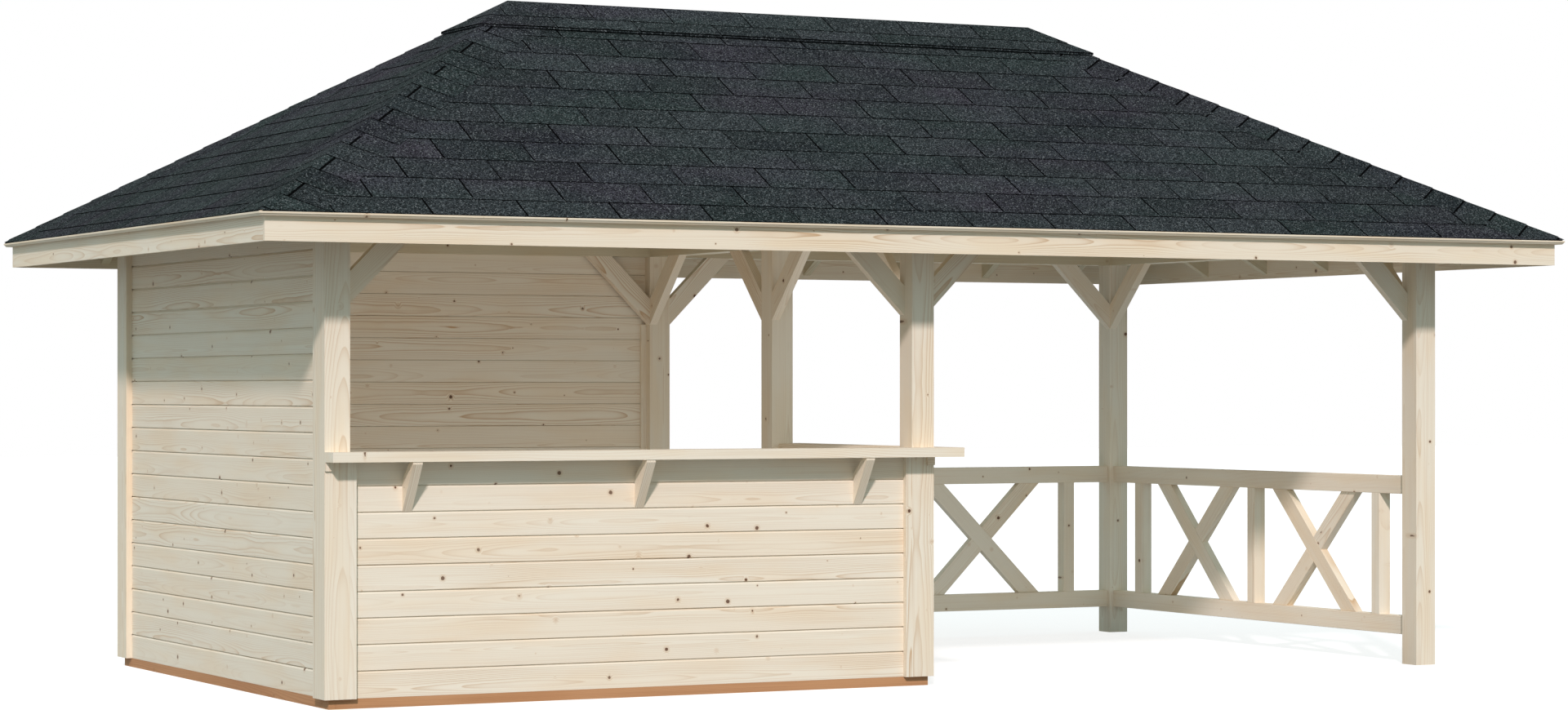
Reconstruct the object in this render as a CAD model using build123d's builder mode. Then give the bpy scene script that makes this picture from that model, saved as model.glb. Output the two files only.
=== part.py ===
from build123d import *
from math import cos, radians, tan
import os

# Wooden garden pavilion with a boarded bar bay on the left, an open railed bay on the right
# and one hipped, shingled roof over both. The front faces -Y and the length lies along X.
# The origin is on the ground, under the middle of the plan. All sizes are in millimetres.

# Plan and heights
post = 120                # side of the square posts
bay_width = 2980          # between the centres of neighbouring front posts
row_spacing = 2940        # between the centre lines of the front and back rows
base_height = 45          # treated beams under the boarded bay
base_width = 75
wall_setback = 30         # base beams and boards stand back from the posts' outer faces
partition_setback = 16    # the same for the base beam under the partition
plate_level = 2152        # underside of the plates that lie on the posts
plate_height = 190

# Boarded walls
board_thickness = 28
batten_width = 31         # strips beside the posts that hold the board ends

# Counter
counter_level = 1100      # underside of the counter boards
counter_thickness = 45
counter_reach = 108       # beyond the posts' outer faces
counter_width = 188
bracket_thickness = 45
bracket_height = 225
bracket_nose = 12         # upright end of a bracket behind the counter's edge
bracket_nose_gap = 4      # from the counter's edge back to that end
bracket_seat = 38         # length of a bracket's level top
bracket_foot = 145        # height of a bracket's face on the boards
bracket_end_gap = 282     # from a post's face to the middle of the nearest bracket
cleat = 40                # square blocks under the ends of the front counter
cleat_proud = 12          # how far they stand out from the posts' outer faces

# Railings, centred on the posts
rail_height = 95
rail_thickness = 70
lower_rail_level = 150
upper_rail_level = 880
baluster = 70             # side of the square balusters
end_baluster_gap = 265    # from a post's face to the middle of the nearest baluster
cross_width = 95          # bars of the railing crosses
cross_thickness = 45

# Knee braces at 45 degrees
brace_width = 100
brace_thickness = 45
brace_drop = 371          # from the plate down to a brace's lowest corner

# Roof
roof_pitch = 30
rafter_width = 45
rafter_depth = 95
rafter_spacing = 596
seat_length = 39          # level cut of a rafter on its plate
ridge_beam_height = 145
hip_rafter_width = 45
hip_clearance = 1         # between two hip rafters at the end of the ridge beam, each side
roof_board_thickness = 20
roofing_thickness = 5
fascia_overhang = 430     # outer face of the fascia beyond the posts' outer faces
fascia_thickness = 20
fascia_height = 122
board_overhang = 467      # upper edge of the roof boards beyond the posts' outer faces
cap_half_width = 253      # plan distance from the ridge to the edge of the ridge cap
cap_lift = 8              # upright distance between the roofing and the cap
cap_thickness = 11
cap_batten_width = 40
cap_batten_inset = 60     # plan distance from the cap's edge to the battens under it

# Places worked out from the sizes above
post_half = post / 2
row = row_spacing / 2
half_length = bay_width + post_half
half_depth = row + post_half
inner_length = bay_width - post_half
inner_depth = row - post_half
wall_outer = half_depth - wall_setback
wall_left = half_length - wall_setback
wall_side = post_half - wall_setback
inner_batten_depth = post - wall_setback - board_thickness - brace_thickness
brace_foot = plate_level - brace_drop
brace_rise = brace_width / cos(radians(45))

slope = tan(radians(roof_pitch))
upright = 1 / cos(radians(roof_pitch))
plate_top = plate_level + plate_height
rafter_under = plate_top - seat_length * slope
rafter_top = rafter_under + rafter_depth * upright
boards_top = rafter_top + roof_board_thickness * upright
roofing_top = boards_top + roofing_thickness * upright
cap_under = roofing_top + cap_lift
cap_top = cap_under + cap_thickness * upright
ridge_half = half_length - half_depth
fascia_top = rafter_top - fascia_overhang * slope
fascia_bottom = fascia_top - fascia_height


def save(piece, name):
    """Give a finished piece its name and write it."""
    piece.part.label = name
    export_step(piece.part, f"parts/{name}.step")


def block(low, high, mode=Mode.ADD):
    """Add or cut one upright box between two opposite corners."""
    sizes = [high[axis] - low[axis] for axis in range(3)]
    with Locations(low):
        Box(*sizes, align=(Align.MIN, Align.MIN, Align.MIN), mode=mode)


os.makedirs("parts", exist_ok=True)

# Base beams under the boarded bay: two long ones, and two across between them
base_right = post_half - partition_setback
base_inner = wall_outer - base_width
with BuildPart() as base_beams_long:
    block((-wall_left, -wall_outer, 0), (base_right, -base_inner, base_height))
    block((-wall_left, base_inner, 0), (base_right, wall_outer, base_height))
save(base_beams_long, "base_beams_front_back")

with BuildPart() as base_beams_cross:
    for x in (-wall_left, base_right - base_width):
        block((x, -base_inner, 0), (x + base_width, base_inner, base_height))
save(base_beams_cross, "base_beams_left_partition")

# Posts: those of the boarded bay stand on the base beams, the two right ones on the ground
post_places = {
    "front_left_post": (-bay_width, -row, base_height),
    "front_middle_post": (0, -row, base_height),
    "front_right_post": (bay_width, -row, 0),
    "back_left_post": (-bay_width, row, base_height),
    "back_middle_post": (0, row, base_height),
    "back_right_post": (bay_width, row, 0),
    "partition_post": (0, 0, base_height),
}
for name, (x, y, foot) in post_places.items():
    with BuildPart() as square_post:
        block((x - post_half, y - post_half, foot), (x + post_half, y + post_half, plate_level))
    save(square_post, name)


# Plates on the posts: two long ones, and three across between them
def long_plates(mode):
    """Add or cut the plates over the front and back posts."""
    for y in (-row, row):
        block((-half_length, y - post_half, plate_level), (half_length, y + post_half, plate_top), mode)


def cross_plates(places, mode):
    """Add or cut the plates that run from front to back."""
    for x in places:
        block((x - post_half, -inner_depth, plate_level), (x + post_half, inner_depth, plate_top), mode)


with BuildPart() as plates_long:
    long_plates(Mode.ADD)
save(plates_long, "plates_front_back")

with BuildPart() as plates_cross:
    cross_plates((-bay_width, 0, bay_width), Mode.ADD)
save(plates_cross, "plates_left_middle_right")

# Boarded walls between the posts: full height at the left and back, half height at the bar
with BuildPart() as left_wall:
    block((-wall_left, -inner_depth, base_height),
          (board_thickness - wall_left, inner_depth, plate_level))
save(left_wall, "left_wall")

with BuildPart() as back_wall:
    block((-inner_length, wall_outer - board_thickness, base_height),
          (-post_half, wall_outer, plate_level))
save(back_wall, "back_wall")

with BuildPart() as bar_front_wall:
    block((-inner_length, -wall_outer, base_height),
          (-post_half, board_thickness - wall_outer, counter_level))
save(bar_front_wall, "bar_front_wall")

with BuildPart() as bar_side_wall:
    block((wall_side - board_thickness, -inner_depth, base_height),
          (wall_side, -post_half, counter_level))
save(bar_side_wall, "bar_side_wall")

# Battens beside the posts, outside and inside of each boarded wall. The inner ones fill the
# space up to the plane of the knee braces and stop below them.
inner_face = board_thickness + inner_batten_depth
with BuildPart() as left_wall_battens:
    for y in (-inner_depth, inner_depth - batten_width):
        block((-half_length, y, base_height), (-wall_left, y + batten_width, plate_level))
        block((board_thickness - wall_left, y, base_height),
              (inner_face - wall_left, y + batten_width, brace_foot))
save(left_wall_battens, "left_wall_battens")

with BuildPart() as back_wall_battens:
    for x in (-inner_length, -post_half - batten_width):
        block((x, wall_outer, base_height), (x + batten_width, half_depth, plate_level))
        block((x, wall_outer - inner_face, base_height),
              (x + batten_width, wall_outer - board_thickness, brace_foot))
save(back_wall_battens, "back_wall_battens")

with BuildPart() as bar_wall_battens:
    for x in (-inner_length, -post_half - batten_width):
        block((x, -half_depth, base_height), (x + batten_width, -wall_outer, counter_level))
        block((x, board_thickness - wall_outer, base_height),
              (x + batten_width, inner_face - wall_outer, counter_level))
    for y in (-inner_depth, -post_half - batten_width):
        block((wall_side, y, base_height), (post_half, y + batten_width, counter_level))
        block((wall_side - inner_face, y, base_height),
              (wall_side - board_thickness, y + batten_width, counter_level))
save(bar_wall_battens, "bar_wall_battens")

# Counter boards along the front and over the partition, notched round the posts
counter_top = counter_level + counter_thickness
counter_edge = half_depth + counter_reach
counter_side = post_half + counter_reach
counter_back = counter_width - counter_edge


def post_notch(x, y):
    """Cut one post's square out of a counter board."""
    block((x - post_half, y - post_half, counter_level), (x + post_half, y + post_half, counter_top),
          Mode.SUBTRACT)


with BuildPart() as front_counter:
    block((-half_length, -counter_edge, counter_level), (counter_side, counter_back, counter_top))
    post_notch(-bay_width, -row)
    post_notch(0, -row)
save(front_counter, "front_counter")

with BuildPart() as side_counter:
    block((counter_side - counter_width, counter_back, counter_level),
          (counter_side, post_half, counter_top))
    post_notch(0, -row)
    post_notch(0, 0)
save(side_counter, "side_counter")

# Cleats under the ends of the front counter
with BuildPart() as counter_cleats:
    for x in (-half_length, post_half - cleat):
        block((x, -half_depth - cleat_proud, counter_level - cleat),
              (x + cleat, -half_depth, counter_level))
save(counter_cleats, "counter_cleats")


# Slanting brackets from the boards to the counters' edges
def bracket(plane):
    """Add one bracket: the plane's x axis runs outwards from the boards, from its origin."""
    reach = counter_reach + wall_setback - bracket_nose_gap
    with BuildSketch(plane.offset(-bracket_thickness / 2)) as outline:
        Polygon(
            (reach, 0),
            (reach, -bracket_nose),
            (0, -bracket_height),
            (0, -bracket_height + bracket_foot),
            (reach - bracket_seat, 0),
            align=None,
        )
    extrude(outline.sketch, amount=bracket_thickness)


end_bracket_left = -inner_length + bracket_end_gap
end_bracket_right = -post_half - bracket_end_gap
side_bracket_y = -(inner_depth + post_half) / 2
with BuildPart() as counter_brackets:
    for x in (end_bracket_left, (end_bracket_left + end_bracket_right) / 2, end_bracket_right):
        bracket(Plane(origin=(x, -wall_outer, counter_level), x_dir=(0, -1, 0), z_dir=(-1, 0, 0)))
    bracket(Plane(origin=(wall_side, side_bracket_y, counter_level), x_dir=(1, 0, 0), z_dir=(0, -1, 0)))
save(counter_brackets, "counter_brackets")

# Railings: two rails, three balusters and two halved crosses of bars at 45 degrees
cross_bottom = lower_rail_level + rail_height
cross_top = upper_rail_level
cross_half_run = (cross_top - cross_bottom) / 2
cross_half_cut = cross_width / cos(radians(45)) / 2


def railing_frame(length):
    """Draw the rails and balusters of a panel, centred on the sketch's upright axis."""
    end_baluster = length / 2 - end_baluster_gap
    for level in (lower_rail_level, upper_rail_level):
        with Locations((0, level + rail_height / 2)):
            Rectangle(length, rail_height)
    for place in (-end_baluster, 0, end_baluster):
        with Locations((place, (cross_bottom + cross_top) / 2)):
            Rectangle(baluster, cross_top - cross_bottom)


def railing_crosses(length):
    """Draw the two crosses, each midway between two balusters."""
    for side in (-1, 1):
        middle = side * (length / 2 - end_baluster_gap) / 2
        for lean in (-cross_half_run, cross_half_run):
            Polygon(
                (middle - lean - cross_half_cut, cross_bottom),
                (middle - lean + cross_half_cut, cross_bottom),
                (middle + lean + cross_half_cut, cross_top),
                (middle + lean - cross_half_cut, cross_top),
                align=None,
            )


def railing(name, plane, length):
    """Build one railing panel on the upright plane through the posts' centre line."""
    with BuildPart() as panel:
        with BuildSketch(plane.offset(-rail_thickness / 2)):
            railing_frame(length)
        extrude(amount=rail_thickness)
        with BuildSketch(plane.offset(-cross_thickness / 2)):
            railing_crosses(length)
        extrude(amount=cross_thickness)
    save(panel, name)


right_plane = Plane(origin=(bay_width, 0, 0), x_dir=(0, 1, 0), z_dir=(1, 0, 0))
back_plane = Plane(origin=(bay_width / 2, row, 0), x_dir=(1, 0, 0), z_dir=(0, -1, 0))
railing("right_railing", right_plane, row_spacing - post)
railing("back_railing", back_plane, bay_width - post)


# Knee braces between the posts and the plates
def brace(x, y, direction):
    """Add one brace that leans away from a post's face in the given direction."""
    across = Vector(*direction).cross(Vector(0, 0, 1))
    with BuildSketch(Plane(origin=(x, y, plate_level), x_dir=direction, z_dir=across)) as outline:
        Polygon(
            (0, -brace_drop),
            (0, -brace_drop + brace_rise),
            (brace_drop - brace_rise, 0),
            (brace_drop, 0),
            align=None,
        )
    extrude(outline.sketch, amount=brace_thickness)


def brace_row(name, braces):
    """Build one row's braces, each from a corner of its foot at the plate and its direction."""
    with BuildPart() as braces_part:
        for x, y, direction in braces:
            brace(x, y, direction)
    save(braces_part, name)


to_right, to_left, to_back, to_front = (1, 0, 0), (-1, 0, 0), (0, 1, 0), (0, -1, 0)
brace_outer_y = inner_depth + brace_thickness
brace_outer_x = inner_length + brace_thickness
brace_row("front_knee_braces", [
    (-inner_length, -inner_depth, to_right),
    (-post_half, -brace_outer_y, to_left),
    (post_half, -inner_depth, to_right),
    (inner_length, -brace_outer_y, to_left),
])
brace_row("back_knee_braces", [
    (-inner_length, brace_outer_y, to_right),
    (-post_half, inner_depth, to_left),
    (post_half, brace_outer_y, to_right),
    (inner_length, inner_depth, to_left),
])
brace_row("side_knee_braces", [
    (-brace_outer_x, -inner_depth, to_back),
    (-inner_length, inner_depth, to_front),
    (inner_length, -inner_depth, to_back),
    (brace_outer_x, inner_depth, to_front),
])
brace_row("partition_knee_braces", [
    (-post_half, -inner_depth, to_back),
    (brace_thickness - post_half, -post_half, to_front),
    (-post_half, post_half, to_back),
    (brace_thickness - post_half, inner_depth, to_front),
])


# Roof: the four slopes meet on plan lines at 45 degrees. Each profile runs inwards from
# the posts' outer faces, and each slope is cut to its own part of the plan.
def slope_plan(side, reach, gap):
    """Draw one slope's plan, out to a reach beyond the posts and short of each hip by a gap."""
    if side in ("front", "back"):
        sign = -1 if side == "front" else 1
        edge = half_length + reach - gap
        Polygon(
            (-edge, sign * (half_depth + reach)),
            (edge, sign * (half_depth + reach)),
            (ridge_half - gap, 0),
            (gap - ridge_half, 0),
            align=None,
        )
    else:
        sign = -1 if side == "left" else 1
        edge = half_depth + reach - gap
        Polygon(
            (sign * (half_length + reach), -edge),
            (sign * (half_length + reach), edge),
            (sign * (ridge_half + gap), 0),
            align=None,
        )


def cut_to_plan(sides, reach, gap):
    """Keep only what lies inside the given slopes' own parts of the plan."""
    with BuildSketch(Plane.XY) as plan:
        for side in sides:
            slope_plan(side, reach, gap)
    extrude(plan.sketch, amount=2 * cap_top, mode=Mode.INTERSECT)


def profile_plane(side, along):
    """Upright plane across a slope: its x axis runs inwards from the posts' outer faces."""
    if side == "front":
        return Plane(origin=(along, -half_depth, 0), x_dir=(0, 1, 0), z_dir=(1, 0, 0))
    if side == "back":
        return Plane(origin=(along, half_depth, 0), x_dir=(0, -1, 0), z_dir=(-1, 0, 0))
    if side == "left":
        return Plane(origin=(-half_length, along, 0), x_dir=(1, 0, 0), z_dir=(0, -1, 0))
    return Plane(origin=(half_length, along, 0), x_dir=(-1, 0, 0), z_dir=(0, 1, 0))


def sloped_strip(side, under, top, start, end, half_spread):
    """Add a sloping sheet between two heights, which are given at the posts' outer faces."""
    start_under, start_top = start
    with BuildSketch(profile_plane(side, 0)) as outline:
        Polygon(
            (start_under, under + start_under * slope),
            (start_top, top + start_top * slope),
            (end, top + end * slope),
            (end, under + end * slope),
            align=None,
        )
    extrude(outline.sketch, amount=half_spread, both=True)


# Roof boards, cut square at the eaves, and the roofing on them
eaves_half = half_length + board_overhang
board_under_overhang = board_overhang - roof_board_thickness * slope / upright
for side in ("front", "back", "left", "right"):
    with BuildPart() as boards:
        start = (-board_under_overhang, -board_overhang)
        sloped_strip(side, rafter_top, boards_top, start, half_depth, eaves_half)
        cut_to_plan([side], board_overhang, 0)
    save(boards, f"roof_boards_{side}")
    with BuildPart() as roofing:
        start = (-board_overhang, -board_overhang)
        sloped_strip(side, boards_top, roofing_top, start, half_depth, eaves_half)
        cut_to_plan([side], board_overhang, 0)
    save(roofing, f"roofing_{side}")

# Fascia boards under the ends of the roof boards
fascia_x = half_length + fascia_overhang
fascia_y = half_depth + fascia_overhang
fascia_inner_y = fascia_y - fascia_thickness
with BuildPart() as fascia_long:
    block((-fascia_x, -fascia_y, fascia_bottom), (fascia_x, -fascia_inner_y, fascia_top))
    block((-fascia_x, fascia_inner_y, fascia_bottom), (fascia_x, fascia_y, fascia_top))
save(fascia_long, "fascia_front_back")

with BuildPart() as fascia_short:
    for x in (-fascia_x, fascia_x - fascia_thickness):
        block((x, -fascia_inner_y, fascia_bottom), (x + fascia_thickness, fascia_inner_y, fascia_top))
save(fascia_short, "fascia_left_right")

# Ridge beam between the ends of the hips
rafter_half = rafter_width / 2
ridge_beam_top = rafter_top + (half_depth - rafter_half) * slope
with BuildPart() as ridge_beam:
    block((-ridge_half, -rafter_half, ridge_beam_top - ridge_beam_height),
          (ridge_half, rafter_half, ridge_beam_top))
save(ridge_beam, "ridge_beam")

# Rafters with a plumb tail at the fascia and a level seat on the plate
rafter_tail = fascia_overhang - fascia_thickness
hip_gap = hip_rafter_width / 2 / cos(radians(45))


def rafter_outline(run):
    """Draw a rafter from its tail to a run inwards of the posts' outer faces."""
    Polygon(
        (-rafter_tail, rafter_under - rafter_tail * slope),
        (-rafter_tail, rafter_top - rafter_tail * slope),
        (run, rafter_top + run * slope),
        (run, rafter_under + run * slope),
        (seat_length, plate_top),
        (0, plate_top),
        (0, rafter_under),
        align=None,
    )


def rafter_group(name, sides, half_count):
    """Build the rafters of two facing slopes, cut back to the ridge beam and the hips."""
    with BuildPart() as group:
        for side in sides:
            for index in range(-half_count, half_count + 1):
                along = index * rafter_spacing
                with BuildSketch(profile_plane(side, along).offset(-rafter_half)) as outline:
                    rafter_outline(half_depth - rafter_half)
                extrude(outline.sketch, amount=rafter_width)
        cut_to_plan(sides, rafter_tail, hip_gap)
    save(group, name)


long_count = int(inner_length // rafter_spacing) + 1
rafter_group("rafters_front_back", ["front", "back"], long_count)
short_count = int(inner_depth // rafter_spacing)
rafter_group("rafters_left_right", ["left", "right"], short_count)

# Hip rafters, on the diagonals from the eaves' corners to the ridge beam's ends
hip_slope = slope * cos(radians(45))
hip_drop = hip_rafter_width / 2 * hip_slope
hip_tail = rafter_tail / cos(radians(45))
hip_run = half_depth / cos(radians(45))
with BuildPart() as hip_rafters:
    for x_sign in (-1, 1):
        for y_sign in (-1, 1):
            corner = (x_sign * half_length, y_sign * half_depth, 0)
            inwards = Vector(-x_sign, -y_sign, 0)
            across = inwards.cross(Vector(0, 0, 1)).normalized()
            middle = Plane(origin=corner, x_dir=inwards, z_dir=across)
            with BuildSketch(middle.offset(-hip_rafter_width / 2)):
                Polygon(
                    (-hip_tail, rafter_under - hip_drop - hip_tail * hip_slope),
                    (-hip_tail, rafter_top - hip_drop - hip_tail * hip_slope),
                    (hip_run, rafter_top - hip_drop + hip_run * hip_slope),
                    (hip_run, rafter_under - hip_drop + hip_run * hip_slope),
                    align=None,
                )
            extrude(amount=hip_rafter_width)
    # the tails end at the fascia, and the feet are cut down onto the plates
    with BuildSketch(Plane.XY):
        for x_sign in (-1, 1):
            for y_sign in (-1, 1):
                width = half_length + rafter_tail - ridge_half
                depth = half_depth + rafter_tail - hip_clearance
                with Locations((x_sign * (ridge_half + width / 2), y_sign * (hip_clearance + depth / 2))):
                    Rectangle(width, depth)
    extrude(amount=2 * cap_top, mode=Mode.INTERSECT)
    long_plates(Mode.SUBTRACT)
    cross_plates((-bay_width, bay_width), Mode.SUBTRACT)
save(hip_rafters, "hip_rafters")

# Ridge cap: a small hipped roof raised over the ridge on two battens
cap_start = half_depth - cap_half_width
cap_bottom = cap_under + cap_start * slope


def hipped_block(level):
    """Add the solid under a small hipped roof whose slopes have this height at the posts."""
    edge = level + cap_start * slope
    peak = level + half_depth * slope
    cap_half_length = ridge_half + cap_half_width
    with BuildSketch(Plane.YZ) as across:
        Polygon(
            (-cap_half_width, cap_bottom),
            (cap_half_width, cap_bottom),
            (cap_half_width, edge),
            (0, peak),
            (-cap_half_width, edge),
            align=None,
        )
    extrude(across.sketch, amount=cap_half_length, both=True)
    with BuildSketch(Plane.XZ) as lengthwise:
        Polygon(
            (-cap_half_length, cap_bottom),
            (cap_half_length, cap_bottom),
            (cap_half_length, edge),
            (ridge_half, peak),
            (-ridge_half, peak),
            (-cap_half_length, edge),
            align=None,
        )
    extrude(lengthwise.sketch, amount=cap_half_width, both=True, mode=Mode.INTERSECT)


with BuildPart() as cap_hollow:
    hipped_block(cap_under)
with BuildPart() as ridge_cap:
    hipped_block(cap_top)
    add(cap_hollow.part, mode=Mode.SUBTRACT)
save(ridge_cap, "ridge_cap")

with BuildPart() as cap_battens:
    for side in ("front", "back"):
        outer = cap_start + cap_batten_inset
        inner = outer + cap_batten_width
        sloped_strip(side, roofing_top, cap_under, (outer, outer), inner, ridge_half)
save(cap_battens, "ridge_cap_battens")
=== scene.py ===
from math import asin, atan2, cos, hypot, pi, radians, sin, tan
from random import Random

import bmesh
import bpy
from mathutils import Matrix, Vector


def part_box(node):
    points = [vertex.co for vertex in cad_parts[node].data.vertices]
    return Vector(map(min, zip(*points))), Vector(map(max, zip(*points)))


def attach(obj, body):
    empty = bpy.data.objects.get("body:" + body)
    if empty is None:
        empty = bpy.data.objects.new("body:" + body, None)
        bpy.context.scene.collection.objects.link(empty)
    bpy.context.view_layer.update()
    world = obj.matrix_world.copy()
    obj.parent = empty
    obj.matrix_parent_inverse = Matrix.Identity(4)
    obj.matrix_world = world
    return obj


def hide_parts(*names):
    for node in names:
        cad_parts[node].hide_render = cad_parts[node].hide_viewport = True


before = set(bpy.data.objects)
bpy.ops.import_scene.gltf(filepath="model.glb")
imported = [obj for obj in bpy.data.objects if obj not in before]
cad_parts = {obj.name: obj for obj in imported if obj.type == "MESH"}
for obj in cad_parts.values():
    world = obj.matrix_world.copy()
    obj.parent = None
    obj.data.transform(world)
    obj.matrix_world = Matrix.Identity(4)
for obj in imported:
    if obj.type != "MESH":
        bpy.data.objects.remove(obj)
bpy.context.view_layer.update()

# A timber garden pavilion: pale planed spruce, tongue and groove boards and dark bitumen
# shingles. Lengths are in metres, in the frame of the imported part.
ARRIS = 0.0025            # rounding of planed timber edges
SEED = 7628


# Places read from the frame
def low(node):
    """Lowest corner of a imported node."""
    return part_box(node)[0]


def high(node):
    """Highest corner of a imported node."""
    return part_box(node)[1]


EAVE_X = high("roofing_front").x
EAVE_Y = -low("roofing_front").y
EAVE_Z = low("roofing_front").z
RIDGE_Z = high("roof_boards_front").z
PITCH = atan2(RIDGE_Z - EAVE_Z, EAVE_Y)
SLOPE_LENGTH = EAVE_Y / cos(PITCH)


# Node trees
def new_material(name):
    """A new material with its node tree and its shader."""
    material = bpy.data.materials.new(name)
    material.use_nodes = True
    tree = material.node_tree
    return material, tree, tree.nodes["Principled BSDF"]


def add_node(tree, kind, inputs=None, **settings):
    """Add a node, set its options, and set or link its inputs."""
    made = tree.nodes.new(kind)
    for key, value in settings.items():
        setattr(made, key, value)
    for key, value in (inputs or {}).items():
        if isinstance(value, bpy.types.NodeSocket):
            tree.links.new(value, made.inputs[key])
        else:
            made.inputs[key].default_value = value
    return made


def maths(tree, operation, first, second=0.0, third=0.0):
    """Output of a math node."""
    inputs = {0: first, 1: second, 2: third}
    return add_node(tree, "ShaderNodeMath", inputs, operation=operation).outputs[0]


def scaled(tree, vector, factors):
    """A vector multiplied part by part."""
    return add_node(tree, "ShaderNodeVectorMath", {0: vector, 1: factors}, operation="MULTIPLY").outputs[0]


def blend_colours(tree, factor, first, second):
    """Mix two colours, each a socket or a plain colour."""
    made = add_node(tree, "ShaderNodeMix", {0: factor}, data_type="RGBA")
    for place, colour in ((6, first), (7, second)):
        if isinstance(colour, bpy.types.NodeSocket):
            tree.links.new(colour, made.inputs[place])
        else:
            made.inputs[place].default_value = (*colour, 1.0)
    return made.outputs[2]


def ranged(tree, value, start, end, start_value=0.0, end_value=1.0, smooth=True):
    """Map a range of a value onto another range."""
    kind = "SMOOTHSTEP" if smooth else "LINEAR"
    inputs = {0: value, 1: start, 2: end, 3: start_value, 4: end_value}
    return add_node(tree, "ShaderNodeMapRange", inputs, interpolation_type=kind).outputs[0]


def noise(tree, vector, factors, detail):
    """Brightness of a noise texture whose scale is given along each axis, per metre."""
    inputs = {"Vector": scaled(tree, vector, factors), "Scale": 1.0, "Detail": detail}
    return add_node(tree, "ShaderNodeTexNoise", inputs).outputs[0]


def fine_noise(tree, vector, scale, detail):
    """Brightness of a noise texture of one scale all round, per metre."""
    inputs = {"Vector": vector, "Scale": scale, "Detail": detail}
    return add_node(tree, "ShaderNodeTexNoise", inputs).outputs[0]


def attribute(tree, name, output):
    """An attribute that the mesh carries."""
    return add_node(tree, "ShaderNodeAttribute", attribute_name=name).outputs[output]


def bump(tree, height, distance, strength):
    """A bump from a height between 0 and 1."""
    inputs = {"Height": height, "Distance": distance, "Strength": strength}
    return add_node(tree, "ShaderNodeBump", inputs).outputs[0]


# Wood. The mesh carries the place in the log, in metres: x runs with the grain, and y and z
# are measured from the pith, so that growth rings, knots and end grain all come from one solid.
KNOT_CELL = (0.26, 0.105, 0.105)     # mean distance between knots, with and across the grain
KNOT_SPREAD = (0.26, 0.105, 0.024)   # knots run about four times as deep as they are wide
KNOT_RADIUS = (0.0026, 0.0118)       # the smallest and the largest
KNOT_RAGGED = 0.004                  # how far a knot's rim strays
RING_WIDTH = 0.0058
RING_SWAY = 0.085                    # how far the rings stray along a board
RING_RIPPLE = 0.009
RING_BULGE = 0.8                     # how far the rings part round a knot, as a share of its radius
HALO_SHARE = 0.42                    # how much darker the wood is round a knot
STREAK_SHARE = 0.16
FIBRE_DEPTH = 0.0006


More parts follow.
